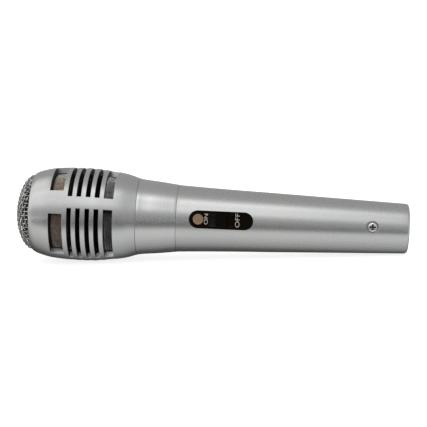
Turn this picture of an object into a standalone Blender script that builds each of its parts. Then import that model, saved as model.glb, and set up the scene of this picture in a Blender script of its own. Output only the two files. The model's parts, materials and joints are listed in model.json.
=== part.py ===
"""Handheld dynamic microphone with a slotted metal head, a woven dome, an on/off slide switch and a male
three-pin socket in its tail. It lies on its side on the plane z = 0, head towards -X and tail towards +X.

Everything is drawn in the microphone's own axial frame, in millimetres: x runs along the axis from the tip of
the dome to the tail, local +Z points to the switch, and angles about the axis are measured from the switch.
"""

import math

import bmesh
import bpy
from mathutils import Vector

MM = 0.001
GAP = 0.3  # clearance between neighbouring pieces

# Overall body
LENGTH = 189.4
OUTER_SIDES = 48
INNER_SIDES = 24
SWITCH_ELEVATION = 10.75  # the switch looks this far above the horizon as the microphone lies
RIB_ANGLE = 15.5  # centre of one rib of the head; it puts a flat of each 48-sided piece face down

# Head: dome, slotted shell and what it holds
DOME_DEPTH = 9.5
DOME_RADIUS = 19.0
DOME_EDGE = 8.4
DOME_WALL = 1.1
SKIRT_RADIUS = 18.3
SKIRT_END = 13.9
SHELL_FRONT = 8.8
SHELL_END = 59.4
SHELL_OUTLINE = (
    (8.8, 19.05),
    (10.2, 19.85),
    (12.4, 20.6),
    (18.2, 21.9),
    (25.9, 22.5),
    (32.0, 22.65),
    (38.5, 22.5),
    (45.3, 21.75),
    (53.1, 20.6),
    (59.4, 18.7),
)
SHELL_WALL = 2.9
OPENINGS = (  # (start, end, cells left closed at each side of a rib centre)
    (18.9, 25.4, 2),
    (27.7, 29.8, 1),
    (31.9, 34.0, 1),
    (36.3, 38.4, 1),
    (40.5, 42.7, 1),
    (44.8, 49.1, 1),
)
ROWS_OF_OPENINGS = 4
THREAD_BORE = 15.5
THREAD_START = 50.8
SEAL_SEAT = 58.3
SEAL_RADIUS = 17.0
LINER_START = 16.9
LINER_END = 50.2
LINER_WALL = 0.7
FOAM_RADIUS = 16.6
FOAM_WALL = 1.2
FOAM_END = 48.5

# Collar, neck and handle
COLLAR_START = 59.7
COLLAR_END = 78.4
COLLAR_OUTLINE = ((COLLAR_START, 18.6), (62.8, 18.15), (68.6, 17.6), (COLLAR_END, 16.4))
NECK_RADIUS = 15.2
NECK_START = 49.9
NECK_SHOULDER = 77.6
NECK_SPIGOT = 13.7
NECK_END = 84.0
NECK_SEAT_RADIUS = 13.9
NECK_SEAT_END = 55.0
NECK_BORE = 11.9
HANDLE_START = 78.7
HANDLE_FRONT_RADIUS = 16.3
HANDLE_MID = 121.0
HANDLE_MID_RADIUS = 14.55
HANDLE_TAIL_RADIUS = 12.07
TAIL_ROUNDING = 1.4
TAIL_ROUNDING_RATIO = 0.75  # its radial depth over its length
HANDLE_BORE = 11.5
TAIL_BORE = 10.0
TAIL_BORE_START = 165.0

# Switch plate and what is under it (frame: x along the plate, z out of it, origin on its top face)
PLATE_CENTRE = 100.15
PLATE_LENGTH = 30.1
PLATE_WIDTH = 8.1
PLATE_THICKNESS = 1.3
PLATE_HEIGHT = 14.85
WINDOW_LENGTH = 12.0
WINDOW_WIDTH = 6.1
DOT_POSITION = -10.85
DOT_RADIUS = 2.5
KNOB_REAR = 4.8
KNOB_LENGTH = 7.3
KNOB_WIDTH = 5.2
HOUSING_LENGTH = 20.0
HOUSING_WIDTH = 7.0
HOUSING_TOP = -1.6
HOUSING_FLOOR = -4.8
HOUSING_BOTTOM = -6.3

# Capsule, from its cap to the board behind the rear chamber
CAPSULE_FRONT = 16.0
CAPSULE_REAR = 31.0
CAPSULE_RADIUS = 13.6
CAPSULE_WALL = 1.1
CAP_THICKNESS = 1.4
CAP_CHAMFER = 0.4
CAP_HOLES = 6
CAP_HOLE_CIRCLE = 7.6
CAP_HOLE_RADIUS = 1.9
DIAPHRAGM_OUTLINE = ((18.2, 0.0), (18.3, 3.0), (18.6, 5.6), (19.1, 7.7), (18.9, 9.6), (19.2, 12.1))
FILM_THICKNESS = 0.25
COIL_FRONT = 19.7
COIL_REAR = 23.2
COIL_RADIUS = 8.3
COIL_WALL = 0.6
POLE_FRONT = 20.4
POLE_REAR = 22.3
POLE_RADIUS = 7.2
MAGNET_REAR = 27.4
MAGNET_RADIUS = 6.8
YOKE_BORE = 8.8
YOKE_REAR = 29.6
YOKE_RADIUS = 11.5
CHAMBER_REAR = 48.0
CHAMBER_RADIUS = 11.2
CHAMBER_WALL = 1.3
CHAMBER_FLOOR = 1.0
REAR_PORT_RADIUS = 4.0
FELT_THICKNESS = 1.2
BOARD_RADIUS = 11.0
BOARD_THICKNESS = 1.4
MOUNT_BORE = 11.5
MOUNT_OUTLINE = ((42.0, 12.8), (46.5, 12.8), (46.5, 15.0), (49.6, 15.0), (49.6, 13.6), (54.0, 13.6))

# Male three-pin socket
INSERT_START = 167.5
INSERT_FACE = 175.5
INSERT_RADIUS = 9.7
SOCKET_RADIUS = 8.2
SOCKET_END = 188.8
PIN_RADIUS = 1.2
PIN_CIRCLE = 4.5
PIN_START = 164.8
PIN_TIP = 188.0
SCREW_POSITION = 171.8
SCREW_HOLE = 2.9
SCREW_HEAD = 2.35
SCREW_SEAT = 11.0
SCREW_TOP = 12.15
SCREW_SHANK = 0.9
SCREW_TIP = 5.6
RECESS_REACH = 1.3
RECESS_HALF_WIDTH = 0.35
RECESS_DEPTH = 0.7
WIRE_RADIUS = 0.5


# ---------------------------------------------------------------------------------------------- helpers


def clear_scene():
    for thing in list(bpy.data.objects):
        bpy.data.objects.remove(thing, do_unlink=True)


def make_material(name, colour, roughness, metallic=0.0):
    material = bpy.data.materials.new(name)
    material.use_nodes = True
    shader = material.node_tree.nodes["Principled BSDF"]
    shader.inputs["Base Color"].default_value = (*colour, 1.0)
    shader.inputs["Roughness"].default_value = roughness
    shader.inputs["Metallic"].default_value = metallic
    return material


def empty(name, parent=None, location=(0.0, 0.0, 0.0), rotation=(0.0, 0.0, 0.0)):
    frame = bpy.data.objects.new(name, None)
    bpy.context.collection.objects.link(frame)
    frame.parent = parent
    frame.location = [value * MM for value in location]
    frame.rotation_euler = [math.radians(value) for value in rotation]
    return frame


def add_object(name, bm, parent, material, location=(0.0, 0.0, 0.0)):
    """Turn a bmesh drawn in mm into a named object whose origin is at location, in its parent's frame."""
    bmesh.ops.recalc_face_normals(bm, faces=bm.faces)
    for vert in bm.verts:
        vert.co = (vert.co - Vector(location)) * MM
    mesh = bpy.data.meshes.new(name)
    bm.to_mesh(mesh)
    bm.free()
    mesh.shade_smooth()
    mesh.set_sharp_from_angle(angle=math.radians(30))
    if material is not None:
        mesh.materials.append(material)
    thing = bpy.data.objects.new(name, mesh)
    bpy.context.collection.objects.link(thing)
    thing.parent = parent
    thing.location = [value * MM for value in location]
    return thing


def ring_point(x, radius, angle):
    """A point at an angle in degrees about the axis, from the switch towards local +Y."""
    turn = math.radians(angle)
    return (x, radius * math.sin(turn), radius * math.cos(turn))


def add_rings(bm, outline, sides):
    """One ring of vertices for each (x, radius) point, or a single vertex where the radius is 0."""
    rings = []
    for x, radius in outline:
        if radius == 0.0:
            rings.append([bm.verts.new((x, 0.0, 0.0))])
            continue
        angles = [RIB_ANGLE + 360.0 * k / sides for k in range(sides)]
        rings.append([bm.verts.new(ring_point(x, radius, angle)) for angle in angles])
    return rings


def bridge(bm, first, second, cell):
    """The face between two neighbouring rings at one angular cell; a pole ring gives a triangle."""
    corners = []
    for ring, order in ((first, (cell, cell + 1)), (second, (cell + 1, cell))):
        for index in order[: len(ring)]:
            corners.append(ring[index % len(ring)])
    bm.faces.new(corners)


def turned_mesh(outline, sides):
    bm = bmesh.new()
    rings = add_rings(bm, outline, sides)
    for first, second in zip(rings, rings[1:] + rings[:1]):
        if len(first) == 1 and len(second) == 1:
            continue
        for cell in range(sides):
            bridge(bm, first, second, cell)
    return bm


def turned(name, outline, parent, material, sides=INNER_SIDES, location=(0.0, 0.0, 0.0)):
    """A closed solid of revolution about the axis; outline goes once round its section."""
    return add_object(name, turned_mesh(outline, sides), parent, material, location)


def disc_section(front, rear, radius):
    """The half section of a plain disc."""
    return [(front, 0.0), (front, radius), (rear, radius), (rear, 0.0)]


def tube_section(front, rear, inner, outer):
    """The half section of a plain tube."""
    return [(front, inner), (front, outer), (rear, outer), (rear, inner)]


def prism_mesh(outline, low, high, up="z"):
    """A prism between two heights of a closed outline of (x, y) points, or (x, z) points when up is y."""
    bm = bmesh.new()
    rings = []
    for height in (low, high):
        if up == "z":
            rings.append([bm.verts.new((u, v, height)) for u, v in outline])
        else:
            rings.append([bm.verts.new((u, height, v)) for u, v in outline])
    bm.faces.new(rings[0])
    bm.faces.new(rings[1])
    for k in range(len(outline)):
        after = (k + 1) % len(outline)
        bm.faces.new((rings[0][k], rings[0][after], rings[1][after], rings[1][k]))
    return bm


def rectangle(low_x, high_x, half_width):
    return [(low_x, -half_width), (high_x, -half_width), (high_x, half_width), (low_x, half_width)]


def circle(radius, centre=(0.0, 0.0), sides=16):
    turns = [2.0 * math.pi * k / sides for k in range(sides)]
    return [(centre[0] + radius * math.cos(t), centre[1] + radius * math.sin(t)) for t in turns]


def stadium(length, width, steps=8):
    """A slot outline with round ends, centred on the origin and lying along x."""
    radius = width / 2.0
    reach = length / 2.0 - radius
    points = []
    for side, start in ((1.0, -90.0), (-1.0, 90.0)):
        for k in range(steps + 1):
            turn = math.radians(start + 180.0 * k / steps)
            points.append((side * reach + radius * math.cos(turn), radius * math.sin(turn)))
    return points


def cut(thing, name, bm, parent):
    """Take a cutter's shape out of a piece with an exact Boolean."""
    cutter = add_object(name, bm, parent, None)
    cutter.hide_render = True
    cutter.display_type = "WIRE"
    boolean = thing.modifiers.new(name, "BOOLEAN")
    boolean.operation = "DIFFERENCE"
    boolean.solver = "EXACT"
    boolean.object = cutter


def smooth_value(x, points):
    """Height at x of a smooth curve through (x, y) points, without overshoot at a maximum."""
    slopes = [(b[1] - a[1]) / (b[0] - a[0]) for a, b in zip(points, points[1:])]
    tangents = [slopes[0]]
    for before, after in zip(slopes, slopes[1:]):
        rising = before * after > 0.0
        tangents.append(2.0 * before * after / (before + after) if rising else 0.0)
    tangents.append(slopes[-1])
    k = 0
    while k < len(slopes) - 1 and x > points[k + 1][0]:
        k += 1
    span = points[k + 1][0] - points[k][0]
    t = min(max((x - points[k][0]) / span, 0.0), 1.0)
    start = points[k][1] * (1 + 2 * t) + tangents[k] * span * t
    end = points[k + 1][1] * (3 - 2 * t) - tangents[k + 1] * span * (1 - t)
    return start * (1 - t) ** 2 + end * t**2


def smooth_route(points, steps=3):
    """Points on a Catmull-Rom curve through the route's own points."""
    route = [Vector(p) for p in points]
    padded = [route[0]] + route + [route[-1]]
    result = []
    for k in range(1, len(padded) - 2):
        a, b, c, d = padded[k - 1 : k + 3]
        for step in range(steps):
            t = step / steps
            bend = (2 * a - 5 * b + 4 * c - d) * t**2 + (3 * b - a - 3 * c + d) * t**3
            result.append((2 * b + (c - a) * t + bend) / 2)
    result.append(route[-1])
    return result


# ------------------------------------------------------------------------------------------------ outlines


def shell_radius(x):
    return smooth_value(x, SHELL_OUTLINE)


def handle_radius(x):
    """The handle's outer radius: a slightly hollow taper at the front, then a straight cone to the tail."""
    cone_end = LENGTH - TAIL_ROUNDING
    if x > HANDLE_MID:
        share = (x - HANDLE_MID) / (cone_end - HANDLE_MID)
        return HANDLE_MID_RADIUS + share * (HANDLE_TAIL_RADIUS - HANDLE_MID_RADIUS)
    share = (x - HANDLE_START) / (HANDLE_MID - HANDLE_START)
    drop = HANDLE_FRONT_RADIUS - HANDLE_MID_RADIUS
    return HANDLE_FRONT_RADIUS - drop * (share + 0.3 * share * (1.0 - share))


def ellipse_arc(depth, radius, end_x, steps):
    """Points of an ellipse about the dome's centre, from its tip on the axis out to end_x."""
    last = math.acos((DOME_DEPTH - end_x) / depth)
    turns = [last * k / steps for k in range(steps + 1)]
    arc = [(DOME_DEPTH - depth * math.cos(t), radius * math.sin(t)) for t in turns]
    return [(arc[0][0], 0.0)] + arc[1:]


def plate_slope():
    """The fall of the handle under the switch plate, in degrees."""
    front = handle_radius(PLATE_CENTRE - PLATE_LENGTH / 2.0)
    rear = handle_radius(PLATE_CENTRE + PLATE_LENGTH / 2.0)
    return math.degrees(math.atan((front - rear) / PLATE_LENGTH))


def resting_slope():
    """How far the axis dips towards the tail when head and handle both touch the ground, in degrees."""
    tail_x = LENGTH - TAIL_ROUNDING
    flat = math.cos(math.pi / OUTER_SIDES)
    stations = [station for opening in OPENINGS for station in opening[:2]]
    rises = [(shell_radius(x) - HANDLE_TAIL_RADIUS) * flat / (tail_x - x) for x in stations]
    return math.degrees(math.atan(max(rises)))


# ---------------------------------------------------------------------------------------------------- head


def build_dome(parent, material):
    outer = ellipse_arc(DOME_DEPTH, DOME_RADIUS, DOME_EDGE, 7)
    inner = ellipse_arc(DOME_DEPTH - DOME_WALL, DOME_RADIUS - DOME_WALL, DOME_EDGE - 0.1, 4)
    skirt_inner = SKIRT_RADIUS - 0.9
    skirt = [(DOME_EDGE + 0.1, SKIRT_RADIUS), (SKIRT_END, SKIRT_RADIUS), (SKIRT_END, skirt_inner)]
    turned("dome_mesh", outer + skirt + inner[::-1], parent, material, OUTER_SIDES)


def shell_inner_radius(x):
    if x < LINER_START - 1.0:
        return SKIRT_RADIUS + GAP
    return shell_radius(x) - SHELL_WALL


def build_shell(parent, material):
    """The slotted head shell: a turned wall with rows of openings between its lengthwise ribs."""
    front = [SHELL_FRONT, 9.4, 10.2, 12.4, 15.4]
    middle = [station for opening in OPENINGS for station in opening[:2]]
    stations = front + [LINER_START - 0.5] + middle
    bm = bmesh.new()
    outer = add_rings(bm, [(x, shell_radius(x)) for x in stations], OUTER_SIDES)
    inner = add_rings(bm, [(x, shell_inner_radius(x)) for x in stations], OUTER_SIDES)
    tail = [(THREAD_START - 0.3, shell_inner_radius(THREAD_START)), (THREAD_START, THREAD_BORE)]
    tail += [(SEAL_SEAT, THREAD_BORE), (SEAL_SEAT, SEAL_RADIUS + GAP), (SHELL_END, SEAL_RADIUS + GAP)]
    tail += [(x, shell_radius(x)) for x in (SHELL_END, 56.3, 53.0)]
    rings = inner[-1:] + add_rings(bm, tail, OUTER_SIDES) + outer[-1:]
    for first, second in list(zip(rings, rings[1:])) + [(outer[0], inner[0])]:
        for cell in range(OUTER_SIDES):
            bridge(bm, first, second, cell)
    cells_per_row = OUTER_SIDES // ROWS_OF_OPENINGS
    closed_margin = {middle.index(start) + len(front) + 1: margin for start, _, margin in OPENINGS}

    def is_open(band, cell):
        margin = closed_margin.get(band, cells_per_row)
        return margin <= cell % cells_per_row < cells_per_row - margin

    for band in range(len(stations) - 1):
        for cell in range(OUTER_SIDES):
            after = (cell + 1) % OUTER_SIDES
            if not is_open(band, cell):
                bridge(bm, outer[band], outer[band + 1], cell)
                bridge(bm, inner[band], inner[band + 1], cell)
                continue
            for side, beyond in ((cell, cell - 1), (after, cell + 1)):
                if not is_open(band, beyond):
                    rim = (outer[band], outer[band + 1], inner[band + 1], inner[band])
                    bm.faces.new([ring[side] for ring in rim])
            for edge in (band, band + 1):
                bm.faces.new([outer[edge][cell], outer[edge][after], inner[edge][after], inner[edge][cell]])
    add_object("head_shell", bm, parent, material)


def build_head_fittings(parent, materials):
    ring = [(14.2, 16.9), (14.2, SKIRT_RADIUS), (16.0, SKIRT_RADIUS), (16.0, 16.9)]
    turned("mesh_retaining_ring", ring, parent, materials["steel"])

    clearance = SHELL_WALL + GAP
    stations = [LINER_START, 23.0, 32.0, 41.0, LINER_END]
    outside = [(x, shell_radius(x) - clearance) for x in stations]
    inside = [(x, radius - LINER_WALL) for x, radius in outside]
    turned("inner_mesh_liner", outside + inside[::-1], parent, materials["mesh"])

    depth = DOME_DEPTH - 2.0
    outer = ellipse_arc(depth, FOAM_RADIUS, DOME_DEPTH, 5)
    inner = ellipse_arc(depth - FOAM_WALL, FOAM_RADIUS - FOAM_WALL, DOME_DEPTH, 5)
    ends = [(FOAM_END, FOAM_RADIUS), (FOAM_END, FOAM_RADIUS - FOAM_WALL)]
    turned("foam_windscreen", outer + ends + inner[::-1], parent, materials["foam"])


def build_seal(parent, material):
    seat = (SEAL_SEAT + GAP, SHELL_END)
    section = [(seat[0], THREAD_BORE), (seat[0], SEAL_RADIUS), (seat[1], SEAL_RADIUS), (seat[1], THREAD_BORE)]
    turned("head_seal", section, parent, material)


# ------------------------------------------------------------------------------------------------- capsule


def build_capsule(parent, diaphragm_frame, materials):
    steel = materials["steel"]
    rim = CAPSULE_RADIUS
    front = CAPSULE_FRONT
    back = front + CAP_THICKNESS
    edge = [(front, rim - CAP_CHAMFER), (front + CAP_CHAMFER, rim)]
    section = [(front, 0.0), *edge, (back, rim), (back, 0.0)]
    cap = turned("capsule_front_cap", section, parent, materials["capsule"])
    for k in range(CAP_HOLES):
        centre = ring_point(0.0, CAP_HOLE_CIRCLE, 360.0 * k / CAP_HOLES)
        hole = prism_mesh(circle(CAP_HOLE_RADIUS, (centre[2], centre[1]), 10), front - 1.0, back + 1.0)
        for vert in hole.verts:
            vert.co = (vert.co.z, vert.co.y, vert.co.x)
        cut(cap, f"cap_hole_cutter_{k + 1}", hole, parent)

    front = back + GAP
    rear = CAPSULE_REAR
    inner = rim - CAPSULE_WALL
    section = [(front, rim), (rear, rim), (rear, 3.0), (rear - CAPSULE_WALL, 3.0)]
    section += [(rear - CAPSULE_WALL, inner), (front, inner)]
    turned("capsule_housing", section, parent, materials["capsule"])

    film_back = [(x + FILM_THICKNESS, radius) for x, radius in DIAPHRAGM_OUTLINE]
    turned("diaphragm", list(DIAPHRAGM_OUTLINE) + film_back[::-1], diaphragm_frame, materials["film"])
    coil = tube_section(COIL_FRONT, COIL_REAR, COIL_RADIUS - COIL_WALL, COIL_RADIUS)
    turned("voice_coil", coil, diaphragm_frame, materials["copper"])

    turned("pole_piece", disc_section(POLE_FRONT, POLE_REAR, POLE_RADIUS), parent, steel)
    magnet = disc_section(POLE_REAR + GAP, MAGNET_REAR, MAGNET_RADIUS)
    turned("magnet", magnet, parent, materials["magnet"])
    floor = MAGNET_REAR + GAP
    yoke = [(floor, 0.0), (floor, YOKE_BORE), (POLE_FRONT, YOKE_BORE), (POLE_FRONT, YOKE_RADIUS)]
    turned("magnet_yoke", yoke + [(YOKE_REAR, YOKE_RADIUS), (YOKE_REAR, 0.0)], parent, steel)

    front = CAPSULE_REAR + GAP
    floor = front + CHAMBER_FLOOR
    inner = CHAMBER_RADIUS - CHAMBER_WALL
    section = [(front, REAR_PORT_RADIUS), (front, CHAMBER_RADIUS), (CHAMBER_REAR, CHAMBER_RADIUS)]
    section += [(CHAMBER_REAR, inner), (floor, inner), (floor, REAR_PORT_RADIUS)]
    turned("rear_chamber", section, parent, materials["plastic"])
    felt = disc_section(floor + GAP, floor + GAP + FELT_THICKNESS, inner - GAP)
    turned("rear_felt", felt, parent, materials["felt"])
    board_front = CHAMBER_REAR + GAP
    board = disc_section(board_front, board_front + BOARD_THICKNESS, BOARD_RADIUS)
    turned("terminal_board", board, parent, materials["board"])

    mount_start = (MOUNT_OUTLINE[0][0], MOUNT_BORE)
    mount_end = (MOUNT_OUTLINE[-1][0], MOUNT_BORE)
    turned("shock_mount", [mount_start, *MOUNT_OUTLINE, mount_end], parent, materials["rubber"])


# ------------------------------------------------------------------------------------ collar, neck and handle


def build_neck(parent, materials):
    section = [(NECK_START, NECK_SEAT_RADIUS), (NECK_START, NECK_RADIUS), (NECK_SHOULDER, NECK_RADIUS)]
    section += [(NECK_SHOULDER, NECK_SPIGOT), (NECK_END, NECK_SPIGOT), (NECK_END, NECK_BORE)]
    section += [(NECK_SEAT_END, NECK_BORE), (NECK_SEAT_END, NECK_SEAT_RADIUS)]
    turned("neck_sleeve", section, parent, materials["steel"])

    lip = NECK_SPIGOT + GAP
    inside = [(COLLAR_END, lip), (NECK_SHOULDER + GAP, lip), (NECK_SHOULDER + GAP, NECK_RADIUS + GAP)]
    section = list(COLLAR_OUTLINE) + inside + [(COLLAR_START, NECK_RADIUS + GAP)]
    turned("collar_band", section, parent, materials["collar"], OUTER_SIDES)


def build_handle(parent, plate_frame, material):
    cone_end = LENGTH - TAIL_ROUNDING
    stations = [HANDLE_START, 85.0, 92.0, 100.0, 110.0, HANDLE_MID, cone_end]
    outside = [(x, handle_radius(x)) for x in stations]
    for turn in (30.0, 60.0, 90.0):
        reach = TAIL_ROUNDING * math.sin(math.radians(turn))
        drop = TAIL_ROUNDING * (1.0 - math.cos(math.radians(turn))) * TAIL_ROUNDING_RATIO
        outside.append((cone_end + reach, HANDLE_TAIL_RADIUS - drop))
    spigot_bore = NECK_SPIGOT + GAP
    inside = [(LENGTH, TAIL_BORE), (TAIL_BORE_START, TAIL_BORE), (TAIL_BORE_START, HANDLE_BORE)]
    inside += [(NECK_END + GAP, HANDLE_BORE), (NECK_END + GAP, spigot_bore), (HANDLE_START, spigot_bore)]
    handle = turned("handle_body", outside + inside, parent, material, OUTER_SIDES)
    slot = stadium(PLATE_LENGTH + 2 * GAP, PLATE_WIDTH + 2 * GAP)
    cut(handle, "plate_slot_cutter", prism_mesh(slot, -8.0, 4.0), plate_frame)
    head_hole = prism_mesh(circle(SCREW_HOLE, (SCREW_POSITION, 0.0), 24), SCREW_SEAT - GAP, 15.0)
    cut(handle, "screw_counterbore_cutter", head_hole, parent)
    shank_hole = prism_mesh(circle(SCREW_SHANK + 0.4, (SCREW_POSITION, 0.0), 12), 8.0, 12.0)
    cut(handle, "screw_hole_cutter", shank_hole, parent)


# -------------------------------------------------------------------------------------------------- switch


def build_switch(plate_frame, knob_frame, materials):
    outline = stadium(PLATE_LENGTH, PLATE_WIDTH)
    sheet = prism_mesh(outline, -PLATE_THICKNESS, 0.0)
    plate = add_object("switch_plate", sheet, plate_frame, materials["black"])
    window = prism_mesh(rectangle(-WINDOW_LENGTH / 2, WINDOW_LENGTH / 2, WINDOW_WIDTH / 2), -3.0, 1.0)
    cut(plate, "window_cutter", window, plate_frame)
    dot_hole = prism_mesh(circle(DOT_RADIUS + GAP, (DOT_POSITION, 0.0), 24), -3.0, 1.0)
    cut(plate, "dot_hole_cutter", dot_hole, plate_frame)
    dot = prism_mesh(circle(DOT_RADIUS, (DOT_POSITION, 0.0), 24), -PLATE_THICKNESS, 0.1)
    add_object("indicator_dot", dot, plate_frame, materials["beige"])

    knob_front = KNOB_REAR - KNOB_LENGTH
    ridge = KNOB_REAR - 2.2
    side = [(knob_front, -1.3), (KNOB_REAR, -1.3), (KNOB_REAR, 0.1), (KNOB_REAR - 0.5, 0.55)]
    side += [(ridge + 0.5, 0.55), (ridge, 0.0), (knob_front + 2.5, -0.6), (knob_front, -0.7)]
    centre = (knob_front + KNOB_REAR) / 2.0
    knob = prism_mesh(side, -KNOB_WIDTH / 2, KNOB_WIDTH / 2, up="y")
    add_object("switch_knob", knob, knob_frame, materials["black"], (centre, 0.0, 0.0))
    wiper = prism_mesh(rectangle(centre - 2.0, centre + 2.0, 1.6), HOUSING_FLOOR + GAP, -1.6)
    add_object("switch_wiper", wiper, knob_frame, materials["brass"], (centre, 0.0, HOUSING_FLOOR))

    half_length = HOUSING_LENGTH / 2.0
    body = prism_mesh(rectangle(-half_length, half_length, HOUSING_WIDTH / 2), HOUSING_BOTTOM, HOUSING_TOP)
    housing = add_object("switch_housing", body, plate_frame, materials["tin"])
    pocket = prism_mesh(rectangle(-6.0, 6.0, 2.2), HOUSING_FLOOR, 1.0)
    cut(housing, "switch_pocket_cutter", pocket, plate_frame)
    for k in range(3):
        x = 5.0 * (k - 1)
        tab = prism_mesh(rectangle(x - 0.9, x + 0.9, 0.3), HOUSING_BOTTOM - 2.3, HOUSING_BOTTOM - GAP)
        add_object(f"switch_terminal_{k + 1}", tab, plate_frame, materials["brass"])


# ---------------------------------------------------------------------------------------------- tail socket


def build_socket(parent, socket_frame, materials):
    """The insert, its shell and three pins; the socket frame stands the pins symmetrically upright."""
    chamfer = 0.5
    section = [(INSERT_START, 0.0), (INSERT_START, INSERT_RADIUS), (INSERT_FACE - chamfer, INSERT_RADIUS)]
    section += [(INSERT_FACE, INSERT_RADIUS - chamfer), (INSERT_FACE, 0.0)]
    insert = turned("xlr_insert", section, parent, materials["plastic"])
    tip = PIN_RADIUS * 0.55
    for k in range(3):
        seat = ring_point(0.0, PIN_CIRCLE, 180.0 + 120.0 * k)
        hole = turned_mesh(disc_section(INSERT_START - 5.0, INSERT_FACE + 5.0, PIN_RADIUS + GAP), 12)
        body = [(PIN_START, 0.0), (PIN_START, PIN_RADIUS), (PIN_TIP - 0.9, PIN_RADIUS), (PIN_TIP - 0.2, tip)]
        pin = turned_mesh(body + [(PIN_TIP, 0.0)], 12)
        for bm in (hole, pin):
            bmesh.ops.translate(bm, verts=bm.verts, vec=seat)
        cut(insert, f"pin_hole_cutter_{k + 1}", hole, socket_frame)
        add_object(f"xlr_pin_{k + 1}", pin, socket_frame, materials["pin"])
    shank_hole = prism_mesh(circle(SCREW_SHANK + GAP, (SCREW_POSITION, 0.0), 12), 5.0, 12.0)
    cut(insert, "insert_screw_hole_cutter", shank_hole, parent)

    tube = tube_section(INSERT_FACE + GAP, SOCKET_END, SOCKET_RADIUS, INSERT_RADIUS)
    shell = turned("xlr_shell", tube, socket_frame, materials["steel"])
    latch = prism_mesh(rectangle(181.5, 185.0, 2.2), 5.0, 12.0)
    cut(shell, "latch_hole_cutter", latch, socket_frame)

    seat = (SCREW_POSITION, 0.0, SCREW_SEAT)
    screw = add_object("insert_screw", screw_mesh(), parent, materials["screw"], seat)
    floor = SCREW_TOP - RECESS_DEPTH
    for name, half_x, half_y in (
        ("recess_cutter_1", RECESS_REACH, RECESS_HALF_WIDTH),
        ("recess_cutter_2", RECESS_HALF_WIDTH, RECESS_REACH),
    ):
        outline = rectangle(SCREW_POSITION - half_x, SCREW_POSITION + half_x, half_y)
        cut(screw, name, prism_mesh(outline, floor, SCREW_TOP + 1.0), parent)


def screw_mesh():
    """A headed screw standing along local Z at the screw's place, its shank reaching down into the insert."""
    shank = [(SCREW_TIP, 0.0), (SCREW_TIP, SCREW_SHANK), (SCREW_SEAT, SCREW_SHANK)]
    head = [(SCREW_SEAT, SCREW_HEAD), (SCREW_TOP - 0.4, SCREW_HEAD), (SCREW_TOP, SCREW_HEAD * 0.8)]
    bm = turned_mesh(shank + head + [(SCREW_TOP, 0.0)], 16)
    for vert in bm.verts:
        vert.co = (SCREW_POSITION + vert.co.z, vert.co.y, vert.co.x)
    return bm


# --------------------------------------------------------------------------------------------------- wires


def build_wire(name, points, parent, material):
    curve = bpy.data.curves.new(name, "CURVE")
    curve.dimensions = "3D"
    curve.bevel_depth = WIRE_RADIUS * MM
    curve.bevel_resolution = 1
    curve.use_fill_caps = True
    route = smooth_route(points)
    spline = curve.splines.new("POLY")
    spline.points.add(len(route) - 1)
    for point, place in zip(spline.points, route):
        point.co = (*(place * MM), 1.0)
    curve.materials.append(material)
    wire = bpy.data.objects.new(name, curve)
    bpy.context.collection.objects.link(wire)
    wire.parent = parent


def build_wires(parent, materials):
    board = 50.1
    solder = PIN_START - GAP
    lead_hot = [(board, 3, -5), (62, 3, -4), (80, 2.5, -2), (90, 1.5, 1.5), (94.2, 0.4, 4.2), (95.2, 0, 5.9)]
    build_wire("lead_hot", lead_hot, parent, materials["wire_red"])
    lead_cold = [(board, -3, -5), (64, -3, -5), (90, -3, -5), (120, -2, -5), (148, -1, -5), (160, -3.4, -3.4)]
    build_wire("lead_cold", lead_cold + [(solder, -3.8, -2.4)], parent, materials["wire_blue"])
    lead_switch = [(105.1, 0, 5.5), (108, 0.6, 3), (118, 2.5, 0), (140, 3.4, 0), (158, 3.8, -2)]
    build_wire("lead_switch", lead_switch + [(solder, 3.8, -2.4)], parent, materials["wire_red"])


# ---------------------------------------------------------------------------------------------------- build


def settle(base):
    """Move the whole microphone so that it lies on z = 0, centred over the origin."""
    bpy.context.view_layer.update()
    corners = []
    for thing in bpy.data.objects:
        if thing.type == "MESH" and not thing.hide_render:
            corners += [thing.matrix_world @ vert.co for vert in thing.data.vertices]
    low = [min(corner[k] for corner in corners) for k in range(3)]
    high = [max(corner[k] for corner in corners) for k in range(3)]
    base.location = (-(low[0] + high[0]) / 2.0, -(low[1] + high[1]) / 2.0, -low[2])
    bpy.context.view_layer.update()


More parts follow.
